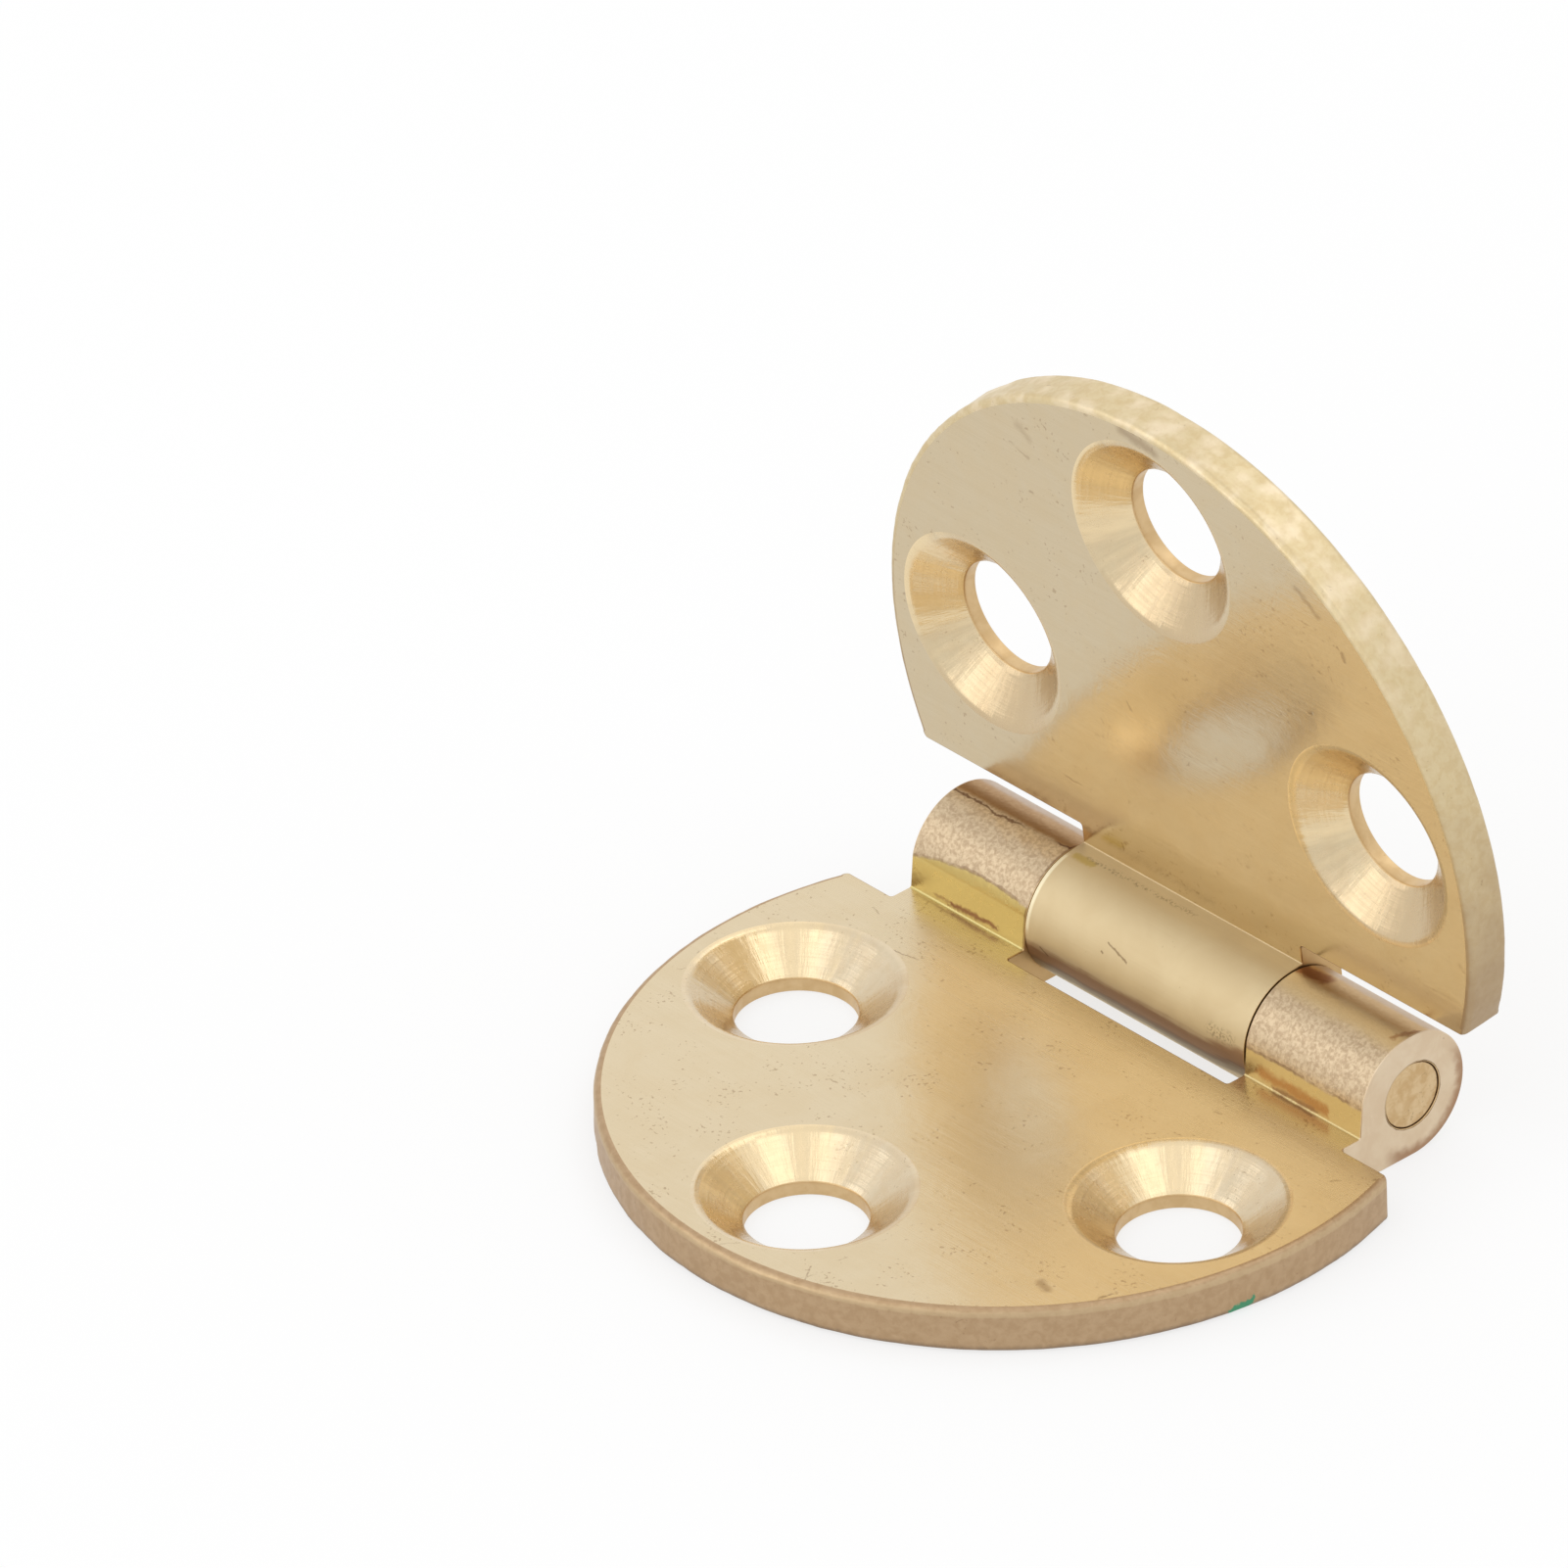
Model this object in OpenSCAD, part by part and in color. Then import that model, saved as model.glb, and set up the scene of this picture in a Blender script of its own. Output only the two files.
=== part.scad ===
// Round drop leaf hinge in solid brass: two D-shaped leaves, three knuckles and a plain pin.
// Millimetres. The origin is the centre of the lower leaf's round seat, on its underside.
// +X runs along the pin, +Y from the seat towards the pin, +Z up out of the seat.

/* [Leaves] */
// Diameter of the round outline of each leaf
leaf_d = 30; // [29:0.5:34]
// Thickness of each leaf
leaf_t = 1.8; // [1.6:0.1:2.2]
// From the pin's axis to the straight edge of the lower leaf
edge_setback = 3.5; // [3.4:0.1:4.2]
// From the pin's axis to the straight edge of the upper leaf
upper_setback = 3.3; // [3.2:0.1:4]
// From the lower leaf's straight edge to the centre of its round outline
seat_setback = 4.9; // [4:0.1:7]
// Radius of the softened edge round each rim
rim_radius = 0.3; // [0.1:0.05:0.5]

/* [Barrel] */
// Outside diameter of the knuckles
knuckle_d = 5; // [4.6:0.1:5.6]
// Length of the three knuckles together
barrel_l = 23.5; // [20:0.5:25]
// Length of the middle knuckle
middle_l = 11.3; // [9:0.1:14]
// End play between neighbouring knuckles
end_play = 0.1; // [0.05:0.05:0.3]
// Gap between the middle knuckle and the leaf edge in front of it
slot_gap = 0.9; // [0.6:0.05:0.95]
// How far the foot of the milled facet stands out past the round of a knuckle
facet_foot = 0.06; // [0.02:0.02:0.2]
// Lean of the milled facet towards the pin, in degrees
facet_lean = 6; // [3:1:12]

/* [Pin] */
// Diameter of the pin
pin_d = 2.6; // [2:0.1:3]
// Chamfer round each end of the pin
pin_chamfer = 0.12; // [0.05:0.01:0.2]
// Radial clearance of the pin in the middle knuckle, which turns on it
running_fit = 0.05; // [0.01:0.01:0.1]
// Radial clearance of the pin in the outer knuckles, which hold it
holding_fit = 0.01; // [0.01:0.01:0.03]

/* [Screw holes] */
// Diameter of the screw holes
screw_d = 4.5; // [3.5:0.1:5]
// Diameter of each countersink at the face
sink_d = 8; // [7:0.1:8.6]
// Depth of each countersink
sink_depth = 1.25; // [0.9:0.05:1.4]
// Width of the softened lip round each countersink
sink_lip = 0.2; // [0.05:0.05:0.3]
// From the centre of each screw hole to the rim
hole_inset = 4.9; // [4.7:0.1:5.5]
// Angle between the end hole and each side hole, about the leaf's centre
side_hole_angle = 82; // [78:1:88]

/* [Fold] */
// Angle between the leaves' countersunk faces: 0 folded shut, 180 open flat
fold_angle = 84.5; // [0:0.5:180]

/* [Hidden] */
$fn = 96;

// How far a cutting shape runs past the face that it cuts
past = 1;
// Steps in each quarter of the rim's softened edge
rim_steps = 4;

axis_z = knuckle_d / 2;
axis_y = edge_setback + seat_setback;
leaf_r = leaf_d / 2;
pitch_r = leaf_r - hole_inset;
outer_l = (barrel_l - middle_l) / 2 - end_play;
outer_x = middle_l / 2 + end_play;
slot_setback = knuckle_d / 2 + slot_gap;
facet_setback = knuckle_d / 2 + facet_foot;

// Half section of the leaf: a flat disc whose two edges are softened by quarter circles
function rim_profile() =
    let (
        inner = leaf_r - rim_radius,
        lower = [for (i = [0:rim_steps]) let (a = -90 + 90 * i / rim_steps)
            [inner + rim_radius * cos(a), rim_radius + rim_radius * sin(a)]],
        upper = [for (i = [0:rim_steps]) let (a = 90 * i / rim_steps)
            [inner + rim_radius * cos(a), leaf_t - rim_radius + rim_radius * sin(a)]]
    )
    concat([[0, 0]], lower, upper, [[0, leaf_t]]);

// Half section of a screw hole: bore, cone and softened lip
function hole_profile() = [
    [0, -past],
    [screw_d / 2, -past],
    [screw_d / 2, leaf_t - sink_depth],
    [sink_d / 2 - sink_lip, leaf_t - sink_lip / 3],
    [sink_d / 2, leaf_t],
    [sink_d / 2, leaf_t + past],
    [0, leaf_t + past],
];

// Leaf frame: the pin's axis runs along X over y = 0, and the leaf reaches towards -Y
module leaf_plate(setback) {
    intersection() {
        translate([0, -axis_y, 0])
            rotate_extrude()
                polygon(rim_profile());
        translate([-leaf_d, -axis_y - leaf_d, -past])
            cube([2 * leaf_d, axis_y + leaf_d - setback, leaf_t + 2 * past]);
    }
}

module screw_holes() {
    for (a = [-side_hole_angle, 0, side_hole_angle])
        translate([0, -axis_y, 0])
            rotate([0, 0, a])
                translate([0, -pitch_r, 0])
                    rotate_extrude()
                        polygon(hole_profile());
}

// A strip of leaf from under the pin's axis, or from a nearer edge, back into the plate
module neck(x, length, front = 0) {
    translate([x, -edge_setback - past, 0])
        cube([length, edge_setback + past - front, leaf_t]);
}

// A knuckle with its neck, and the leaning facet that is milled where its round side meets the leaf
module knuckle(x, length) {
    difference() {
        union() {
            translate([x, 0, axis_z])
                rotate([0, 90, 0])
                    cylinder(d = knuckle_d, h = length);
            neck(x, length);
            translate([x, -facet_setback, 0])
                cube([length, facet_setback, axis_z]);
        }
        translate([x - past, -facet_setback, leaf_t])
            rotate([-facet_lean, 0, 0])
                translate([0, -knuckle_d, 0])
                    cube([length + 2 * past, knuckle_d, knuckle_d]);
    }
}

module pin_bore(fit) {
    translate([-barrel_l / 2 - past, 0, axis_z])
        rotate([0, 90, 0])
            cylinder(d = pin_d + 2 * fit, h = barrel_l + 2 * past);
}

module lower_leaf() {
    color([0.80, 0.66, 0.38])
        translate([0, axis_y, 0])
            difference() {
                union() {
                    leaf_plate(edge_setback);
                    neck(-outer_x, 2 * outer_x, slot_setback);
                    knuckle(outer_x, outer_l);
                    knuckle(-outer_x - outer_l, outer_l);
                }
                screw_holes();
                pin_bore(holding_fit);
            }
}

module upper_leaf() {
    color([0.84, 0.70, 0.42])
        translate([0, axis_y, axis_z])
            rotate([180 - fold_angle, 0, 0])
                translate([0, 0, -axis_z])
                    rotate([0, 0, 180])
                        difference() {
                            union() {
                                leaf_plate(upper_setback);
                                knuckle(-middle_l / 2, middle_l);
                            }
                            screw_holes();
                            pin_bore(running_fit);
                        }
}

module hinge_pin() {
    color([0.72, 0.64, 0.36])
        translate([-barrel_l / 2, axis_y, axis_z])
            rotate([0, 90, 0])
                rotate_extrude()
                    polygon([
                        [0, 0],
                        [pin_d / 2 - pin_chamfer, 0],
                        [pin_d / 2, pin_chamfer],
                        [pin_d / 2, barrel_l - pin_chamfer],
                        [pin_d / 2 - pin_chamfer, barrel_l],
                        [0, barrel_l],
                    ]);
}

lower_leaf();
upper_leaf();
hinge_pin();
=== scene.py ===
import math
import bmesh
import bpy
import numpy as np
from mathutils import Matrix, Vector
from mathutils.geometry import delaunay_2d_cdt


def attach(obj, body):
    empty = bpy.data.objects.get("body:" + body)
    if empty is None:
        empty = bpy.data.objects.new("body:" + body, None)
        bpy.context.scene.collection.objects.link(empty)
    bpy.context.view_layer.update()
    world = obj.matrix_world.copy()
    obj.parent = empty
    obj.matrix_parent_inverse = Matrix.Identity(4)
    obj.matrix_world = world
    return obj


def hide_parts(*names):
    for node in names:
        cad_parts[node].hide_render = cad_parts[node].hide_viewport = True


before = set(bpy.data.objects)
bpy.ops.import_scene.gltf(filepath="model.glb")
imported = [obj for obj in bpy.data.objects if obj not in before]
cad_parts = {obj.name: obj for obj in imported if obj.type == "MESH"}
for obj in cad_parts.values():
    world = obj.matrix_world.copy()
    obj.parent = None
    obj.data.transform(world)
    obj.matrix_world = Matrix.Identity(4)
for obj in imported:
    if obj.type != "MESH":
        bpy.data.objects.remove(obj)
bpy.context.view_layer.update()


# Sizes in millimetres, in the leaf's own plane: the pin runs along X over y = 0,
# the leaf reaches towards -Y and its underside is at z = 0.
hinge = {
    "rimRadius": 15.0,        # round outline of each leaf
    "seatSetback": 8.4,       # pin's axis to the centre of that outline
    "thickness": 1.8,
    "axisHeight": 2.5,        # pin's axis above the underside
    "lowerShoulder": 3.5,     # pin's axis to the lower leaf's straight edges
    "upperShoulder": 3.3,     # pin's axis to the upper leaf's straight edges
    "slotEdge": 3.4,          # pin's axis to the edge in front of the middle knuckle
    "openAngle": 95.5,        # upper leaf's turn from lying flat
}

leafEdges = {
    "rimRounding": 0.28,      # softened edge round the rim
    "edgeRounding": 0.05,     # softened edge elsewhere
    "seamRounding": 0.018,    # softened edge where two knuckles meet
    "cornerRadius": 0.32,     # in plan, where the rim meets the straight edge
    "innerCorner": 0.12,      # in plan, where a knuckle's neck meets the straight edge
    "rimWave": 0.012,         # unevenness of the rim
    "roundingSteps": 6,
    "cornerSteps": 10,
}

screwHole = {
    "boreRadius": 2.25,
    "boreHeight": 0.55,       # top of the bore above the underside
    "coneEnd": 3.70,          # where the cone turns into the lip
    "coneReach": 3.888,       # where the cone would meet the face without its lip
    "bottomRounding": 0.06,
    "lipRadius": 4.08,
    "pitchRadius": 10.1,      # from the centre of the round outline
    "sideAngle": 82.0,
    "steps": 120,
}

barrel = {
    "radius": 2.5,
    # Pin's axis to the facet's foot, lean in degrees, hollow at the foot
    "outerFacet": (2.56, 6.0, 0.09),
    "middleFacet": (2.5, 0.0, 0.04),
    "outerSpan": (5.75, 11.75),
    "middleSpan": (-5.67, 5.73),    # in the upper leaf's own plane, with most of its end play at one end
    "boreOuter": 1.31,
    "boreMiddle": 1.35,
    "boreEdge": 0.03,
    "castGrain": 0.006,       # height of the cast skin's grain on the outer knuckles
    "grainFrom": (97, 107),   # where that grain starts on the left and right knuckle, in degrees
    "grainTo": 163,           # where it ends on both
}

pin = {"radius": 1.3, "halfLength": 11.75, "edge": 0.05, "crown": 0.05}


def ripple(points, size, seed, waves=28):
    # Uneven field between about -1 and 1: the sum of sine waves in random directions,
    # each with a wavelength near size, worked out for all the points at once.
    chance = np.random.default_rng(seed)
    way = chance.normal(size=(3, waves))
    way /= np.linalg.norm(way, axis=0)
    way *= 2 * np.pi / (size * chance.uniform(0.6, 1.6, waves))
    start = chance.uniform(0, 2 * np.pi, waves)
    return np.sin(points @ way + start).sum(-1) / math.sqrt(waves)


def arcRows(centre, radius, startDeg, endDeg, count, side=1.0):
    # Points of an arc with the direction that faces out of the metal:
    # centre plus radius times (cos, sin), and the same (cos, sin) times side.
    turn = np.radians(np.linspace(startDeg, endDeg, count))
    way = np.stack([np.cos(turn), np.sin(turn)], -1)
    return np.hstack([np.asarray(centre) + radius * way, side * way])


def lineRows(start, end, facing, count):
    # Points evenly spaced from start to end, all facing one way.
    share = np.linspace(0, 1, count)[:, None]
    place = np.asarray(start) * (1 - share) + np.asarray(end) * share
    return np.hstack([place, np.tile(facing, (count, 1))])


def joinRows(*parts):
    # One path from several, without the points where they meet twice.
    return np.vstack([parts[0]] + [part[1:] for part in parts[1:]])


def gridPatch(points, finish, wrap=False):
    # A surface from a grid of points: each cell of the grid becomes one face.
    rows, columns = points.shape[:2]
    index = np.arange(rows * columns).reshape(rows, columns)
    if wrap:
        index = np.hstack([index, index[:, :1]])
    cells = np.stack([index[:-1, :-1], index[:-1, 1:], index[1:, 1:], index[1:, :-1]], -1)
    return points.reshape(-1, 3), cells.reshape(-1, 4), finish


def flatPatch(borders, lift, finish):
    # A flat sheet between closed borders. A triangle stays if a line from its middle
    # crosses the borders an odd number of times, so holes are left open.
    starts = np.vstack([line[:-1] for line in borders])
    ends = np.vstack([line[1:] for line in borders])
    spots = np.vstack(borders)
    counts = np.cumsum([0] + [len(line) for line in borders])
    edges = [(a, a + 1) for low, high in zip(counts[:-1], counts[1:]) for a in range(low, high - 1)]
    made = delaunay_2d_cdt([Vector(spot) for spot in spots], edges, [], 0, 1e-5)
    place = np.array([tuple(spot) for spot in made[0]])
    triangles = np.array(made[2])
    middle = place[triangles].mean(1)[:, None, :]
    spans = (starts[None, :, 1] > middle[..., 1]) != (ends[None, :, 1] > middle[..., 1])
    rise = np.where(ends[:, 1] == starts[:, 1], 1.0, ends[:, 1] - starts[:, 1])
    across = starts[:, 0] + (middle[..., 1] - starts[:, 1]) * (ends[:, 0] - starts[:, 0]) / rise
    inside = (spans & (across > middle[..., 0])).sum(1) % 2 == 1
    return lift(place), triangles[inside], finish


def wallPatch(path, rounding, wave=0.0, seed=1):
    # The leaf's edge: a profile carried along the outline. From the underside it turns
    # a quarter round outwards, climbs the wall and turns a quarter round back inwards.
    t = hinge["thickness"]
    turn = np.radians(np.linspace(0, 90, leafEdges["roundingSteps"] + 1))
    r = rounding[None, :]
    lowIn, lowUp = r * (1 - np.sin(turn))[:, None], r * (1 - np.cos(turn))[:, None]
    share = np.array([0.25, 0.5, 0.75])[:, None]
    wallUp = r * (1 - share) + (t - r) * share
    inset = np.vstack([lowIn, np.zeros_like(wallUp), lowIn[::-1]])
    height = np.vstack([lowUp, wallUp, t - lowUp[::-1]])
    plan = path[None, :, :2] - inset[..., None] * path[None, :, 2:4]
    points = np.dstack([plan, height])
    if wave:
        hold = np.sin(np.pi * np.linspace(0, 1, len(height)))[:, None] ** 0.5
        hold = hold * np.clip(rounding / rounding.max() * 2 - 1, 0, 1)[None, :]
        push = wave * hold * (ripple(points, 1.6, seed) + 0.5 * ripple(points, 0.5, seed + 1))
        points[..., :2] += push[..., None] * path[None, :, 2:4]
    return points


def outerPath(lowX, highX, shoulder):
    # Plan of the outline from the knuckles' end at highX round the rim to the end at lowX.
    s, corner = leafEdges, leafEdges["cornerRadius"]
    inner, radius, back = s["innerCorner"], hinge["rimRadius"], hinge["seatSetback"]
    cornerY = -shoulder - corner
    cornerX = math.sqrt((radius - corner) ** 2 - (cornerY + back) ** 2)
    turn = math.degrees(math.atan2(cornerY + back, cornerX))
    innerSteps, edgeSteps, cornerSteps, rimSteps = 7, 14, s["cornerSteps"], 150
    half, other = (joinRows(
        arcRows((endX + inner, -shoulder + inner), inner, 180, 270, innerSteps, -1),
        lineRows((endX + inner, -shoulder), (cornerX, -shoulder), (0, 1), edgeSteps),
        arcRows((cornerX, cornerY), corner, 90, turn, cornerSteps),
        arcRows((0, -back), radius, turn, -90, rimSteps)) for endX in (highX, -lowX))
    rounding = np.concatenate([
        np.full(innerSteps + edgeSteps - 1, s["edgeRounding"]),
        np.linspace(s["edgeRounding"], s["rimRounding"], cornerSteps)[1:],
        np.full(rimSteps - 1, s["rimRounding"])])
    mirror = other[::-1][1:] * [-1, 1, -1, 1]
    return np.vstack([half, mirror]), np.concatenate([rounding, rounding[::-1][1:]])


def slotPath(endX):
    # Plan of the edge in front of the middle knuckle.
    inner, edge = leafEdges["innerCorner"], hinge["slotEdge"]
    half = joinRows(
        arcRows((endX - inner, -edge + inner), inner, 0, -90, 7, -1),
        lineRows((endX - inner, -edge), (0, -edge), (0, 1), 24))
    path = np.vstack([half, half[::-1][1:] * [-1, 1, -1, 1]])
    return path, np.full(len(path), leafEdges["edgeRounding"])


def knucklePath(neckStart, facet):
    # Cross-section of a knuckle in the YZ plane: along the neck, up a small hollow and
    # the milled facet, over the barrel and back along the underside. The facet leaves its
    # foot at (-foot, t) and ends where its line leaves the barrel's circle.
    t, h, r = hinge["thickness"], hinge["axisHeight"], barrel["radius"]
    foot, lean, hollow = facet[0], math.radians(facet[1]), facet[2]
    sine, cosine = math.sin(lean), math.cos(lean)
    half = foot * sine + (h - t) * cosine
    rise = half + math.sqrt(max(half ** 2 - foot ** 2 - (h - t) ** 2 + r ** 2, 0.0))
    tip = (-foot + rise * sine, t + rise * cosine)
    bend = -foot - hollow * (1 - sine) / cosine
    curve = arcRows((bend, t + hollow), hollow, -90, -facet[1], 6, -1)
    parts = [
        lineRows((neckStart, t), (bend, t), (0, 1), 8),
        curve,
        lineRows(curve[-1, :2], tip, (-cosine, sine), 12),
        arcRows((0, h), r, math.degrees(math.atan2(tip[1] - h, tip[0])), -90, 110),
        lineRows((0, 0), (neckStart, 0), (0, -1), 12)]
    path = joinRows(*parts)
    skin = slice(len(parts[0]) - 1, len(path) - len(parts[4]) + 1)
    return path, skin


def endSoftness(count, skin, endX):
    # Rounding at each point of a knuckle's section, finer round the barrel where it
    # meets the next knuckle: a ramp of six points leads in from both ends of the skin.
    wide, fine = leafEdges["edgeRounding"], leafEdges["seamRounding"]
    if abs(endX) > 0.9 * barrel["outerSpan"][1]:
        return np.full(count, wide)
    index = np.arange(count)
    share = np.clip(np.minimum(index - skin.start, skin.stop - 1 - index) / 6, 0, 1)
    return wide * (1 - share) + fine * share


def knuckle(span, neckStarts, boreRadius, facet, skinFinish, neckFinish, borders, grain=0.0, seed=5):
    # One knuckle: its skin, the rounding round both ends, the end faces and the bore.
    # borders collects the lines that it shares with the leaf's two flat faces.
    low, high = span
    e, h, t = leafEdges["edgeRounding"], hinge["axisHeight"], hinge["thickness"]
    steps = leafEdges["roundingSteps"]
    path, skin = knucklePath(neckStarts[0], facet)
    along = path[skin]
    first, last = (endSoftness(len(path), skin, endX)[skin, None] for endX in span)
    share = np.linspace(0, 1, max(int((high - low) / 0.11), 8))
    columns = (low + first) * (1 - share) + (high - last) * share
    points = np.dstack([columns, np.broadcast_to(along[:, None, :2], (*columns.shape, 2))])
    if grain:
        # The grain fades out towards the ends, the facet and the smooth back
        facing = np.degrees(np.arctan2(along[:, 1] - h, along[:, 0]))
        start = barrel["grainFrom"][int(low > 0)]
        zone = np.clip((facing - start) / 5, 0, 1)
        zone = zone * np.clip((barrel["grainTo"] - facing) / 6, 0, 1)
        fade = np.clip((columns - low - e) / 0.3, 0, 1) * np.clip((high - e - columns) / 0.3, 0, 1)
        field = ripple(points, 0.42, seed, 40) + 0.6 * ripple(points, 0.9, seed + 1)
        push = grain * zone[:, None] * fade * field
        points[..., 1:] += push[..., None] * along[:, None, 2:4]
    patches = [gridPatch(points, skinFinish)]
    borders["top"].append(points[0][:, :2])
    borders["under"].append(points[-1][:, :2])
    turn = np.radians(np.linspace(0, 90, steps + 1))[:, None]
    around = np.linspace(0, 2 * np.pi, 73)
    for endX, side, neckStart in ((low, -1, neckStarts[0]), (high, 1, neckStarts[1])):
        path, skin = knucklePath(neckStart, facet)
        soft = endSoftness(len(path), skin, endX)[None, :]
        across = endX - side * soft * (1 - np.sin(turn))
        inward = (soft * (1 - np.cos(turn)))[..., None] * path[None, :, 2:4]
        strip = np.dstack([across, path[None, :, :2] - inward])
        patches.append(gridPatch(strip, neckFinish))
        borders["top"].append(strip[0, :skin.start + 1, :2])
        borders["under"].append(strip[0, skin.stop - 1:, :2])
        climb = np.linspace(0, 1, 5)
        wall = np.stack([np.full(5, neckStart), e * (1 - climb) + (t - e) * climb], -1)
        ring = np.stack([np.cos(around), np.sin(around)], -1) * (boreRadius + barrel["boreEdge"])
        patches.append(flatPatch(
            [strip[-1, :, 1:], wall, ring + [0, h]],
            lambda yz, x=endX: np.column_stack([np.full(len(yz), x), yz]), neckFinish))
    # The bore: a circle carried along the pin, a little wider at both mouths
    quarter = np.radians(np.linspace(0, 90, 5))
    mouth = barrel["boreEdge"] * (1 - np.cos(quarter))
    flare = barrel["boreEdge"] * (1 - np.sin(quarter))
    boreX = np.concatenate([low + mouth, high - mouth[::-1]])
    boreR = boreRadius + np.concatenate([flare, flare[::-1]])
    circle = around[:-1]
    tube = np.stack([
        np.broadcast_to(boreX[:, None], (len(boreX), len(circle))),
        boreR[:, None] * np.cos(circle), h + boreR[:, None] * np.sin(circle)], -1)
    patches.append(gridPatch(tube, "bore", wrap=True))
    return patches


def screwHolePatch(centre, borders, coneFinish):
    # A screw hole: a profile of radius and height turned round the hole's axis.
    # Softened bottom edge, bore, cone, and a lip that bends out into the face.
    s, t = screwHole, hinge["thickness"]
    quarter = np.radians(np.linspace(0, 90, 5))
    soft, reach = s["bottomRounding"], s["coneReach"]
    slope = (t - s["boreHeight"]) / (reach - s["boreRadius"])
    coneTop = s["boreHeight"] + (s["coneEnd"] - s["boreRadius"]) * slope
    share = np.linspace(0, 1, 9)
    lipR = (1 - share) ** 2 * s["coneEnd"] + 2 * share * (1 - share) * reach + share ** 2 * s["lipRadius"]
    lipZ = (1 - share) ** 2 * coneTop + 2 * share * (1 - share) * t + share ** 2 * t
    coneR = np.linspace(s["boreRadius"] + 0.04, s["coneEnd"], 9)[:-1]
    coneZ = s["boreHeight"] + (coneR - s["boreRadius"]) * slope
    boreR = np.concatenate([s["boreRadius"] + soft * (1 - np.sin(quarter)), [s["boreRadius"]] * 2])
    boreZ = np.concatenate([soft * (1 - np.cos(quarter)), [0.3, s["boreHeight"] - 0.04]])
    around = np.linspace(0, 2 * np.pi, s["steps"] + 1)
    wallCount = len(boreR)
    radius = np.concatenate([boreR, coneR, lipR])
    height = np.concatenate([boreZ, coneZ, lipZ])
    ring = np.stack([np.cos(around), np.sin(around)], -1)
    points = np.dstack([
        centre[0] + radius[:, None] * ring[None, :, 0],
        centre[1] + radius[:, None] * ring[None, :, 1],
        np.broadcast_to(height[:, None], (len(height), len(around)))])
    borders["under"].append(points[0][:, :2])
    borders["top"].append(points[-1][:, :2])
    return [gridPatch(points[:wallCount + 1, :-1], "bore", wrap=True),
            gridPatch(points[wallCount:, :-1], coneFinish, wrap=True)]


def holeCentres():
    # The three screw holes on their pitch circle: (sine, minus cosine) times its radius.
    turn = np.radians([-screwHole["sideAngle"], 0, screwHole["sideAngle"]])
    far = screwHole["pitchRadius"]
    return np.stack([far * np.sin(turn), -hinge["seatSetback"] - far * np.cos(turn)], -1)


# One leaf: its rim and slot, its knuckles and screw holes, and the two flat faces that
# fill what their borders leave.
def leafPatches(leafName, spans, boreRadius, facet, shoulder, skinFinish, neckFinish, grain, seed):
    borders = {"top": [], "under": []}
    patches = []
    inner = leafEdges["innerCorner"]
    outerStart, slotStart = -shoulder + inner, -hinge["slotEdge"] + inner
    chains = [outerPath(spans[0][0], spans[-1][1], shoulder) + (leafName + "Rim", leafEdges["rimWave"])]
    if len(spans) == 2:
        chains.append(slotPath(spans[1][0]) + ("slot", 0.0))
    for path, rounding, finish, wave in chains:
        points = wallPatch(path, rounding, wave, seed)
        patches.append(gridPatch(points, finish))
        borders["under"].append(points[0][:, :2])
        borders["top"].append(points[-1][:, :2])
    for index, span in enumerate(spans):
        starts = [outerStart, outerStart]
        if len(spans) == 2:
            starts = [slotStart, outerStart] if span[0] > 0 else [outerStart, slotStart]
        patches += knuckle(
            span, starts, boreRadius, facet, skinFinish, neckFinish, borders, grain, seed + 7 * index)
    for centre in holeCentres():
        patches += screwHolePatch(centre, borders, leafName + "Cone")
    t = hinge["thickness"]
    patches.append(flatPatch(
        borders["top"], lambda xy: np.column_stack([xy, np.full(len(xy), t)]), leafName + "Face"))
    patches.append(flatPatch(
        borders["under"], lambda xy: np.column_stack([xy, np.zeros(len(xy))]), "seat"))
    return patches


def lowerPlace(points):
    return (points + [0, hinge["seatSetback"], 0]) / 1000


def upperPlace(points):
    # Half a turn about Z, then the fold about the pin's axis.
    fold = math.radians(hinge["openAngle"])
    x, y, z = -points[:, 0], -points[:, 1], points[:, 2] - hinge["axisHeight"]
    return np.stack([
        x,
        hinge["seatSetback"] + y * math.cos(fold) - z * math.sin(fold),
        hinge["axisHeight"] + y * math.sin(fold) + z * math.cos(fold)], -1) / 1000


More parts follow.
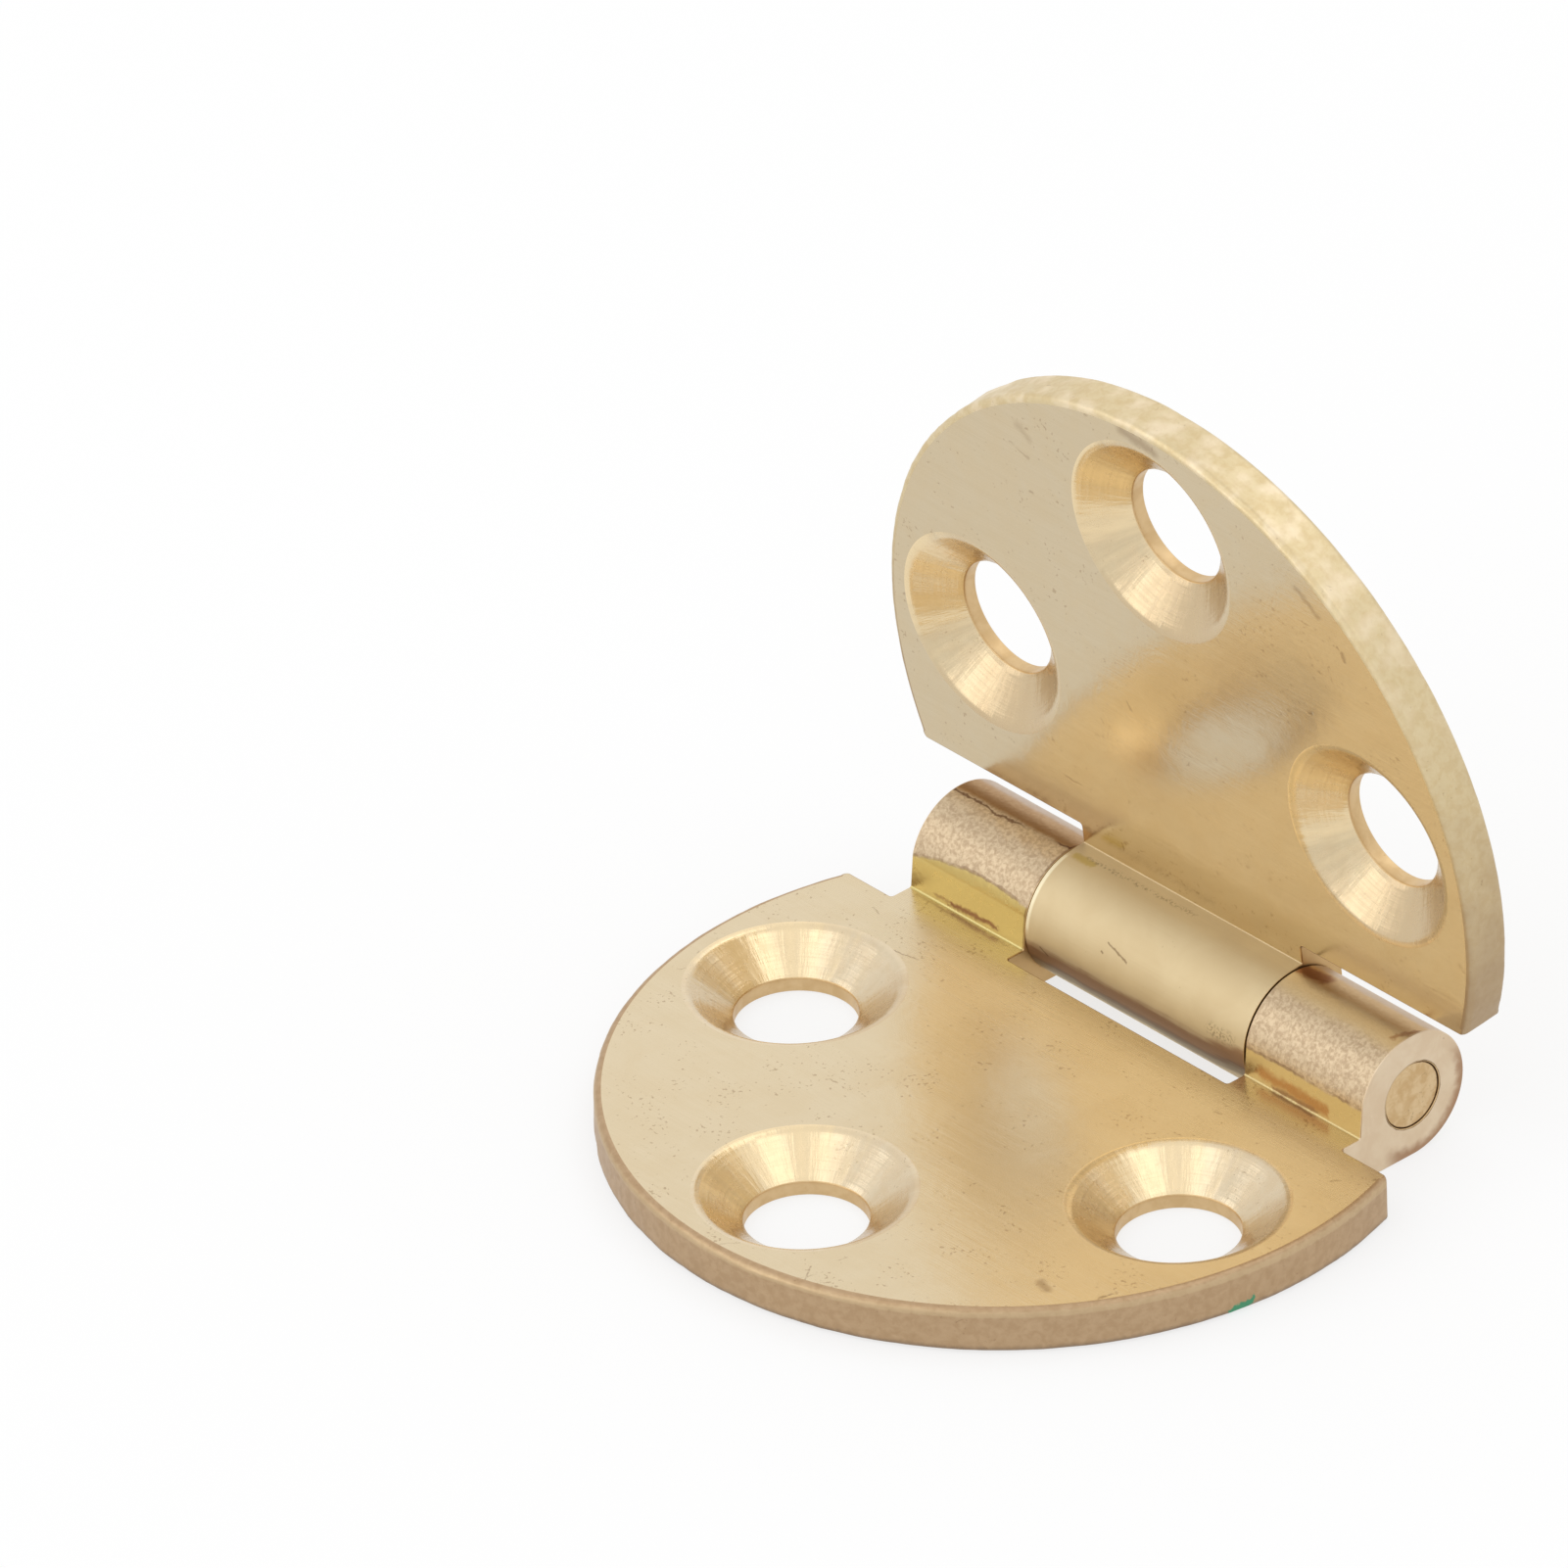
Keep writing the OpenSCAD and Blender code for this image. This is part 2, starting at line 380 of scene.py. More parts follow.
def makePiece(name, patches, place, materials):
    # Joins the patches into one closed mesh, faces outwards, and gives every point
    # the mean direction of its faces, weighed by their areas.
    points, faces, finishes, offset = [], [], [], 0
    names = list(materials)
    for spots, cells, finish in patches:
        points.append(spots)
        faces += (cells + offset).tolist()
        finishes += [names.index(finish)] * len(cells)
        offset += len(spots)
    mesh = bpy.data.meshes.new(name)
    mesh.from_pydata(place(np.vstack(points)), [], faces)
    mesh.polygons.foreach_set("material_index", finishes)
    for material in materials.values():
        mesh.materials.append(material)
    work = bmesh.new()
    work.from_mesh(mesh)
    bmesh.ops.remove_doubles(work, verts=work.verts, dist=3e-7)
    bmesh.ops.dissolve_degenerate(work, dist=1e-7, edges=work.edges)
    bmesh.ops.recalc_face_normals(work, faces=work.faces)
    loose = sum(1 for edge in work.edges if len(edge.link_faces) != 2)
    work.to_mesh(mesh)
    work.free()
    mesh.polygons.foreach_set("use_smooth", [True] * len(mesh.polygons))
    mesh.update()
    corners = np.empty(len(mesh.loops), int)
    mesh.loops.foreach_get("vertex_index", corners)
    areas, ways = np.empty(len(mesh.polygons)), np.empty(len(mesh.polygons) * 3)
    mesh.polygons.foreach_get("area", areas)
    mesh.polygons.foreach_get("normal", ways)
    sizes = np.empty(len(mesh.polygons), int)
    mesh.polygons.foreach_get("loop_total", sizes)
    weighed = np.repeat(ways.reshape(-1, 3) * areas[:, None], sizes, axis=0)
    facing = np.zeros((len(mesh.vertices), 3))
    np.add.at(facing, corners, weighed)
    facing /= np.maximum(np.linalg.norm(facing, axis=1, keepdims=True), 1e-20)
    mesh.normals_split_custom_set_from_vertices(facing)
    piece = bpy.data.objects.new(name, mesh)
    bpy.context.collection.objects.link(piece)
    print("made", name, len(mesh.vertices), "points", len(mesh.polygons), "faces, open edges", loose)
    return piece


def pinPatches():
    # The pin: a profile of length and radius turned round its axis, crowned at the ends.
    s = pin
    quarter = np.radians(np.linspace(0, 90, 6))
    share = np.linspace(0, 1, 8)
    flatR = (s["radius"] - s["edge"]) * share
    flatX = s["halfLength"] - s["crown"] * share ** 2
    edgeR = s["radius"] - s["edge"] * (1 - np.sin(quarter))
    edgeX = s["halfLength"] - s["crown"] - s["edge"] * (1 - np.cos(quarter))
    radius = np.concatenate([flatR, edgeR[1:]])
    length = np.concatenate([flatX, edgeX[1:]])
    radius = np.concatenate([radius, radius[::-1]])
    length = np.concatenate([length, -length[::-1]])
    around = np.linspace(0, 2 * np.pi, 73)[:-1]
    points = np.stack([
        np.broadcast_to(length[:, None], (len(length), len(around))),
        radius[:, None] * np.cos(around),
        hinge["axisHeight"] + radius[:, None] * np.sin(around)], -1)
    return [gridPatch(points, "pin", wrap=True)]


# Materials. Every pattern is read from Object coordinates, in metres.

def addNode(tree, kind, wires=None, **settings):
    made = tree.nodes.new(kind)
    for key, value in settings.items():
        setattr(made, key, value)
    for key, value in (wires or {}).items():
        if isinstance(value, bpy.types.NodeSocket):
            tree.links.new(value, made.inputs[key])
        else:
            made.inputs[key].default_value = value
    return made


def maths(tree, operation, *values, clamp=False):
    wires = dict(enumerate(values))
    return addNode(tree, "ShaderNodeMath", wires, operation=operation, use_clamp=clamp).outputs[0]


def rangeOf(tree, value, low, high, toLow=0.0, toHigh=1.0):
    wires = {0: value, 1: low, 2: high, 3: toLow, 4: toHigh}
    return addNode(tree, "ShaderNodeMapRange", wires, interpolation_type="SMOOTHSTEP").outputs[0]


def mixColour(tree, share, first, second):
    wires = {0: share, 6: first, 7: second}
    return addNode(tree, "ShaderNodeMix", wires, data_type="RGBA").outputs[2]


def newGroup(name, inputs, outputs):
    group = bpy.data.node_groups.new(name, "ShaderNodeTree")
    for label, value in inputs.items():
        socket = group.interface.new_socket(name=label, in_out="INPUT", socket_type="NodeSocketFloat")
        socket.default_value = value
    for label in outputs:
        group.interface.new_socket(name=label, in_out="OUTPUT", socket_type="NodeSocketFloat")
    source = group.nodes.new("NodeGroupInput").outputs
    sink = group.nodes.new("NodeGroupOutput").inputs
    return group, source, sink


def stretchedNoise(tree, length, width, seed, detail=3.0, rough=0.55):
    # Noise on Object coordinates, drawn out along X: length and width in metres.
    place = addNode(tree, "ShaderNodeTexCoord").outputs["Object"]
    along = maths(tree, "DIVIDE", 1.0, length)
    across = maths(tree, "DIVIDE", 1.0, width)
    scale = addNode(tree, "ShaderNodeCombineXYZ", {0: along, 1: across, 2: across}).outputs[0]
    spot = addNode(tree, "ShaderNodeVectorMath", {0: place, 1: scale}, operation="MULTIPLY").outputs[0]
    moved = addNode(tree, "ShaderNodeVectorMath", {0: spot, 1: (seed, seed * 1.7, seed * 0.3)}).outputs[0]
    wires = {"Vector": moved, "Scale": 1.0, "Detail": detail, "Roughness": rough}
    return addNode(tree, "ShaderNodeTexNoise", wires).outputs[0]


def brushGroup():
    # Fine lines that run along the pin, with a slow drift in how strong they are.
    group, source, sink = newGroup("brushLines", {"Length": 0.006, "Width": 0.00007}, ("Lines", "Height"))
    fine = stretchedNoise(group, source["Length"], source["Width"], 3.1, 3.0)
    wide = maths(group, "MULTIPLY", source["Width"], 5.0)
    broad = stretchedNoise(group, source["Length"], wide, 7.7, 2.0)
    drift = stretchedNoise(group, 0.004, 0.003, 1.9, 1.0)
    lines = maths(group, "ADD", maths(group, "MULTIPLY", fine, 0.65), maths(group, "MULTIPLY", broad, 0.35))
    strong = rangeOf(group, drift, 0.3, 0.7, 0.55, 1.0)
    centred = maths(group, "SUBTRACT", lines, 0.5)
    height = maths(group, "MULTIPLY", centred, strong)
    group.links.new(maths(group, "ADD", height, 0.5), sink["Lines"])
    group.links.new(height, sink["Height"])
    return group


def specksGroup():
    # Small dark pits and oxide specks, gathered in loose clouds.
    group, source, sink = newGroup("oxideSpecks", {"Size": 0.0003, "Amount": 0.3}, ("Mask",))
    place = addNode(group, "ShaderNodeTexCoord").outputs["Object"]
    inverse = maths(group, "DIVIDE", 1.0, source["Size"])
    speck = addNode(group, "ShaderNodeTexNoise", {
        "Vector": place, "Scale": inverse, "Detail": 2.0, "Roughness": 0.5}).outputs[0]
    cloud = addNode(group, "ShaderNodeTexNoise", {
        "Vector": place, "Scale": maths(group, "MULTIPLY", inverse, 0.13), "Detail": 2.0}).outputs[0]
    gate = maths(group, "ADD", speck, maths(group, "MULTIPLY", maths(group, "SUBTRACT", cloud, 0.5), 0.5))
    level = maths(group, "SUBTRACT", 0.82, maths(group, "MULTIPLY", source["Amount"], 0.25))
    top = maths(group, "ADD", level, 0.06)
    mask = addNode(group, "ShaderNodeMapRange", {0: gate, 1: level, 2: top, 3: 0.0, 4: 1.0}).outputs[0]
    group.links.new(mask, sink["Mask"])
    return group


def objectPlace(tree):
    return addNode(tree, "ShaderNodeTexCoord").outputs["Object"]


def sumOfProducts(tree, firstA, firstB, secondA, secondB):
    first, second = maths(tree, "MULTIPLY", firstA, firstB), maths(tree, "MULTIPLY", secondA, secondB)
    return maths(tree, "ADD", first, second)


def lineGroup():
    # Distance from a spot to a straight line between two others, all in one plane.
    labels = ("U", "V", "StartU", "StartV", "EndU", "EndV")
    group, source, sink = newGroup("lineDistance", dict.fromkeys(labels, 0.0), ("Distance",))
    runU = maths(group, "SUBTRACT", source["EndU"], source["StartU"])
    runV = maths(group, "SUBTRACT", source["EndV"], source["StartV"])
    offU = maths(group, "SUBTRACT", source["U"], source["StartU"])
    offV = maths(group, "SUBTRACT", source["V"], source["StartV"])
    squares = sumOfProducts(group, runU, runU, runV, runV)
    product = sumOfProducts(group, offU, runU, offV, runV)
    share = maths(group, "DIVIDE", product, squares, clamp=True)
    farU = maths(group, "SUBTRACT", offU, maths(group, "MULTIPLY", share, runU))
    farV = maths(group, "SUBTRACT", offV, maths(group, "MULTIPLY", share, runV))
    total = sumOfProducts(group, farU, farU, farV, farV)
    group.links.new(maths(group, "SQRT", total), sink["Distance"])
    return group


def leafPlaneGroup():
    # A leaf's own plane in millimetres: U along the pin, V from the pin into the leaf
    # as a negative number. Turn is the leaf's angle about the pin, in degrees.
    group, source, sink = newGroup("leafPlane", {"Turn": 180.0}, ("U", "V"))
    place = addNode(group, "ShaderNodeTexCoord").outputs["Object"]
    split = addNode(group, "ShaderNodeSeparateXYZ", {0: place}).outputs
    up = maths(group, "SUBTRACT", split[2], hinge["axisHeight"] / 1000)
    out = maths(group, "SUBTRACT", split[1], hinge["seatSetback"] / 1000)
    turn = maths(group, "RADIANS", source["Turn"])
    reach = maths(
        group, "ADD", maths(group, "MULTIPLY", up, maths(group, "SINE", turn)),
        maths(group, "MULTIPLY", out, maths(group, "COSINE", turn)))
    group.links.new(maths(group, "MULTIPLY", split[0], 1000.0), sink["U"])
    group.links.new(maths(group, "MULTIPLY", reach, -1000.0), sink["V"])
    return group


toolMarks = {
    "reach": 4.6,                     # how far from a hole's centre its marks go, in millimetres
    "streakScale": (5.0, 5.0, 0.35),  # noise scale round the hole twice, then away from its centre
    "ringScale": (0.8, 0.8, 9.0),
    "streakDepth": 34.0, "ringDepth": 9.0, "streakWander": 0.9,
    # streakWander above and this line shape the painted golden and darker reflections on the cones' sides
    "fadeFrom": 0.45, "fadeTo": 1.05, "goldReflectionStrength": 0.85, "darkReflectionStrength": 0.75,
}


def toolMarksGroup():
    # Marks that the countersink's cutter left: streaks that point at each hole's centre
    # and fine rings round it. For each hole the spot's offset from the centre is divided
    # by its length; the three are added, each only where its own hole is.
    group, source, sink = newGroup("toolMarks", {"U": 0.0, "V": 0.0}, ("Streaks", "Rings", "WayU", "WayV"))
    totals = None
    for centre in holeCentres().tolist():
        offU = maths(group, "SUBTRACT", source["U"], centre[0])
        offV = maths(group, "SUBTRACT", source["V"], centre[1])
        far = maths(group, "SQRT", sumOfProducts(group, offU, offU, offV, offV))
        here = maths(group, "LESS_THAN", far, toolMarks["reach"])
        parts = [maths(group, "MULTIPLY", here, maths(group, "DIVIDE", side, far)) for side in (offU, offV)]
        parts.append(maths(group, "MULTIPLY", here, far))
        if totals:
            parts = [maths(group, "ADD", old, new) for old, new in zip(totals, parts)]
        totals = parts
    wide = [maths(group, "MULTIPLY", value, size) for value, size in zip(totals, toolMarks["streakScale"])]
    spot = addNode(group, "ShaderNodeCombineXYZ", dict(enumerate(wide))).outputs[0]
    streaks = addNode(group, "ShaderNodeTexNoise", {
        "Vector": spot, "Scale": 1.0, "Detail": 4.0, "Roughness": 0.6}).outputs[0]
    tall = [maths(group, "MULTIPLY", value, size) for value, size in zip(totals, toolMarks["ringScale"])]
    spot = addNode(group, "ShaderNodeCombineXYZ", dict(enumerate(tall))).outputs[0]
    rings = addNode(group, "ShaderNodeTexNoise", {"Vector": spot, "Scale": 1.0, "Detail": 2.0}).outputs[0]
    group.links.new(streaks, sink["Streaks"])
    group.links.new(rings, sink["Rings"])
    group.links.new(totals[0], sink["WayU"])
    group.links.new(totals[1], sink["WayV"])
    return group


def grainGroup():
    # Mottled skin of cast metal that was never polished.
    group, source, sink = newGroup("castSkin", {"Size": 0.00035}, ("Mask", "Height"))
    place = addNode(group, "ShaderNodeTexCoord").outputs["Object"]
    inverse = maths(group, "DIVIDE", 1.0, source["Size"])
    spots = addNode(group, "ShaderNodeTexNoise", {
        "Vector": place, "Scale": inverse, "Detail": 3.0, "Roughness": 0.6, "Distortion": 0.4}).outputs[0]
    group.links.new(rangeOf(group, spots, 0.36, 0.66), sink["Mask"])
    group.links.new(spots, sink["Height"])
    return group


def angleGroup():
    # Angle round the pin's axis in degrees: 0 at the back, 90 on top, 180 in front.
    group, source, sink = newGroup("roundThePin", {}, ("Angle", "Along", "Up", "Out"))
    place = addNode(group, "ShaderNodeTexCoord").outputs["Object"]
    split = addNode(group, "ShaderNodeSeparateXYZ", {0: place}).outputs
    up = maths(group, "SUBTRACT", split[2], hinge["axisHeight"] / 1000)
    out = maths(group, "SUBTRACT", split[1], hinge["seatSetback"] / 1000)
    turn = maths(group, "ARCTAN2", up, out)
    degrees = maths(group, "MULTIPLY", turn, 180 / math.pi)
    turned = maths(group, "MULTIPLY", maths(group, "LESS_THAN", degrees, -60.0), 360.0)
    positive = maths(group, "ADD", degrees, turned)
    group.links.new(positive, sink["Angle"])
    group.links.new(maths(group, "MULTIPLY", split[0], 1000.0), sink["Along"])
    group.links.new(maths(group, "MULTIPLY", up, 1000.0), sink["Up"])
    group.links.new(maths(group, "MULTIPLY", out, 1000.0), sink["Out"])
    return group


groups = {
    "brush": brushGroup(), "specks": specksGroup(), "grain": grainGroup(), "angle": angleGroup(),
    "line": lineGroup(), "plane": leafPlaneGroup(), "tool": toolMarksGroup()}


def useGroup(tree, name, **values):
    made = addNode(tree, "ShaderNodeGroup", node_tree=groups[name])
    for key, value in values.items():
        if isinstance(value, bpy.types.NodeSocket):
            tree.links.new(value, made.inputs[key])
        else:
            made.inputs[key].default_value = value
    return made.outputs


def tone(red, green, blue):
    # A colour as it is read on a screen, made linear.
    share = np.array([red, green, blue]) / 255
    line = np.where(share <= 0.04045, share / 12.92, ((share + 0.055) / 1.055) ** 2.4)
    return (*line.tolist(), 1.0)


def brassMaterial(name, look, extra=None):
    # One finish of the brass. look holds its colours and strengths; extra may add stains, painted light and
    # shade, and tool marks, and returns the new colour, roughness and height.
    material = bpy.data.materials.new(name)
    material.use_nodes = True
    tree = material.node_tree
    shader = tree.nodes["Principled BSDF"]
    shader.inputs["Metallic"].default_value = look["metallic"]
    shader.inputs["IOR"].default_value = 1.5
    brush = useGroup(tree, "brush", Length=look["lineLength"], Width=look["lineWidth"])
    specks = useGroup(tree, "specks", Size=look["speckSize"], Amount=look["speckAmount"])
    grain = useGroup(tree, "grain", Size=look["grainSize"])
    colour = mixColour(tree, brush["Lines"], look["dark"], look["light"])
    mottle = maths(tree, "MULTIPLY", grain["Mask"], look["mottle"])
    colour = mixColour(tree, mottle, colour, look["mottleColour"])
    oxide = maths(tree, "MULTIPLY", specks["Mask"], look["speckDepth"])
    colour = mixColour(tree, oxide, colour, look["oxide"])
    rough = maths(tree, "ADD", rangeOf(tree, brush["Lines"], 0.3, 0.7, look["roughLow"], look["roughHigh"]),
                  maths(tree, "MULTIPLY", mottle, 0.12))
    height = maths(tree, "ADD", maths(tree, "MULTIPLY", brush["Height"], look["lineDepth"]),
                   maths(tree, "MULTIPLY", grain["Height"], look["grainDepth"]))
    if extra:
        colour, rough, height = extra(tree, colour, rough, height)
    bump = addNode(tree, "ShaderNodeBump", {"Height": height, "Distance": 1e-6, "Strength": 1.0})
    tree.links.new(colour, shader.inputs["Base Color"])
    tree.links.new(rough, shader.inputs["Roughness"])
    tree.links.new(bump.outputs[0], shader.inputs["Normal"])
    return material


plainLook = {
    "metallic": 1.0,
    "light": tone(214, 198, 168),
    "dark": tone(196, 178, 145),
    "oxide": tone(132, 100, 66),
    "lineLength": 0.005, "lineWidth": 0.00006, "lineDepth": 3.0,
    "roughLow": 0.20, "roughHigh": 0.27,
    "speckSize": 0.00018, "speckAmount": 0.1, "speckDepth": 0.35,
    "grainSize": 0.0022, "grainDepth": 0.0, "mottle": 0.18, "mottleColour": tone(206, 182, 140),
}

# Scratches and soft smudges on the two countersunk faces, in the leaf's own plane:
# from U, V to U, V in millimetres, then the width and the strength
faceMarks = {
    "lower": [
        (0.53, -23.09, 0.88, -22.48, 0.05, 0.25), (1.94, -23.35, 4.14, -22.75, 0.07, 0.35),
        (4.58, -22.92, 3.82, -21.75, 0.04, 0.45), (4.05, -22.57, 4.31, -21.97, 0.04, 0.3),
        (4.21, -20.84, 4.27, -20.43, 0.04, 0.3), (12.53, -16.01, 12.70, -15.32, 0.07, 0.5),
        (-9.38, -5.93, -8.01, -5.66, 0.05, 0.5), (-11.72, -4.43, -11.19, -4.64, 0.04, 0.4),
        (-1.75, -11.84, -1.25, -11.69, 0.04, 0.3), (7.84, -9.52, 8.14, -9.14, 0.06, 0.35),
        (12.95, -5.09, 13.14, -4.90, 0.08, 0.45), (6.74, -4.95, 7.05, -4.91, 0.05, 0.3)],
    "upper": [
        (-6.37, -21.99, -3.72, -22.73, 0.05, 0.45), (-6.29, -5.19, -5.53, -5.12, 0.05, 0.35),
        (-2.40, -10.35, -2.14, -10.04, 0.05, 0.3), (7.59, -14.59, 7.73, -14.57, 0.10, 0.45),
        (9.76, -18.15, 9.87, -17.86, 0.10, 0.4), (14.27, -6.62, 14.57, -6.24, 0.07, 0.3),
        (-6.36, -17.78, -6.15, -17.78, 0.07, 0.35), (-7.2, -19.6, -6.2, -19.3, 0.05, 0.25)],
}
faceSmudges = {
    "lower": [(7.2, -2.66, 9.3, -2.66, 0.14, 0.4), (-11.2, -2.75, -6.4, -2.75, 0.12, 0.25),
              (10.3, -16.72, 10.85, -16.92, 0.3, 0.45)],
    "upper": [(-0.9, -23.0, 0.7, -22.75, 0.42, 0.4), (7.65, -20.04, 8.71, -19.29, 0.22, 0.35),
              (-6.6, -20.6, -6.1, -20.2, 0.3, 0.2)],
}

# Stains, and colours that paint light and shade onto the brass
stainsAndPaintedLight = {
    "scratch": tone(118, 86, 56),
    "facet": tone(208, 190, 128),
    "rightFacet": tone(204, 182, 130),
    "footBrown": tone(132, 88, 66),
    "footOrange": tone(170, 116, 62),
    "ridge": tone(104, 68, 46),
    "backBrown": tone(180, 138, 86),
    "backGold": tone(206, 170, 118),
    # painted sheen
    "backPaintedSheen": tone(196, 178, 162),
    "smooth": tone(214, 192, 152),
    "rust": tone(150, 96, 54),
    "lowBrown": tone(146, 98, 62),
    # painted shade, grey
    "greyPaintedShade": tone(96, 82, 76),
    "olive": tone(198, 174, 96),
    "junction": tone(120, 96, 68),
    # painted highlight
    "edgeHighlightPaint": tone(246, 236, 206),
    # painted reflections on the cones' sides, golden and darker
    "coneGoldReflection": tone(240, 217, 174),
    "coneDarkReflection": tone(204, 180, 144),
    "innerGold": tone(196, 160, 104),
    "crescent": tone(180, 148, 78),
    # painted shade, low on the standing leaf's rim
    "rimPaintedShade": tone(162, 134, 104),
    # painted highlight, high on that rim
    "streak": tone(246, 230, 204),
    # old oil and painted shade in the seam round the pin
    "seamOilAndShade": tone(84, 56, 34),
    "verdigris": tone(82, 164, 128),
}


def finishLook(**changes):
    return {**plainLook, **changes}


def wanderNoise(tree, size, detail=3.0):
    place = addNode(tree, "ShaderNodeTexCoord").outputs["Object"]
    wires = {"Vector": place, "Scale": 1 / size, "Detail": detail}
    return maths(tree, "SUBTRACT", addNode(tree, "ShaderNodeTexNoise", wires).outputs[0], 0.5)


def nudged(tree, value, noise, amount):
    return maths(tree, "ADD", value, maths(tree, "MULTIPLY", noise, amount))


def band(tree, value, low, high, soft):
    # 1 between low and high, fading to 0 over soft on both sides.
    rising, falling = rangeOf(tree, value, low - soft, low), rangeOf(tree, value, high + soft, high)
    return maths(tree, "MULTIPLY", rising, falling)


def tinted(tree, colour, mask, strength, name):
    return mixColour(tree, maths(tree, "MULTIPLY", mask, strength), colour, stainsAndPaintedLight[name])


def nearLine(tree, spot, line, reach, soft):
    # 1 within reach of a line, fading to 0 over soft.
    ends = dict(zip(("StartU", "StartV", "EndU", "EndV"), line))
    distance = useGroup(tree, "line", U=spot[0], V=spot[1], **ends)[0]
    return rangeOf(tree, distance, reach + soft, reach)


def faceZones(name, turn):
    # The marks of one countersunk face, drawn with a slightly shaky hand.
    def zones(tree, colour, rough, height):
        plane = useGroup(tree, "plane", Turn=turn)
        shake = wanderNoise(tree, 0.0004)
        spot = [nudged(tree, plane["U"], shake, 0.25), nudged(tree, plane["V"], shake, -0.3)]
        wear = rangeOf(tree, wanderNoise(tree, 0.0003), -0.16, 0.06)
        marks = None
        for *line, reach, strength in faceMarks[name]:
            mask = maths(tree, "MULTIPLY", nearLine(tree, spot, line, reach * 0.3, reach), strength)
            marks = mask if marks is None else maths(tree, "MAXIMUM", marks, mask)
        marks = maths(tree, "MULTIPLY", marks, wear)
        colour = tinted(tree, colour, marks, 1.0, "scratch")
        for *line, reach, strength in faceSmudges[name]:
            colour = tinted(tree, colour, nearLine(tree, spot, line, 0.0, reach), strength, "scratch")
        height = maths(tree, "SUBTRACT", height, maths(tree, "MULTIPLY", marks, 6.0))
        rough = nudged(tree, rough, rangeOf(tree, plane["V"], -8.0, -4.0), 0.04)
        return colour, rough, height
    return zones


def coneZones(turn, goldReflectionSide, darkReflectionSide):
    # These two directions, in the leaf's plane from a hole's centre, point to the sides of each cone where
    # a painted golden reflection and a painted darker reflection go.
    def zones(tree, colour, rough, height):
        plane = useGroup(tree, "plane", Turn=turn)
        tool = useGroup(tree, "tool", U=plane["U"], V=plane["V"])
        height = nudged(tree, height, tool["Streaks"], toolMarks["streakDepth"])
        height = nudged(tree, height, tool["Rings"], toolMarks["ringDepth"])
        wander = maths(tree, "SUBTRACT", tool["Streaks"], 0.5)
        # painted reflections: one side of each cone golden, the other darker
        for way, name, strength in ((goldReflectionSide, "coneGoldReflection", toolMarks["goldReflectionStrength"]),
                                    (darkReflectionSide, "coneDarkReflection", toolMarks["darkReflectionStrength"])):
            share = sumOfProducts(tree, tool["WayU"], way[0], tool["WayV"], way[1])
            share = nudged(tree, share, wander, toolMarks["streakWander"])
            side = rangeOf(tree, share, toolMarks["fadeFrom"], toolMarks["fadeTo"])
            colour = tinted(tree, colour, side, strength, name)
        return colour, rough, height
    return zones


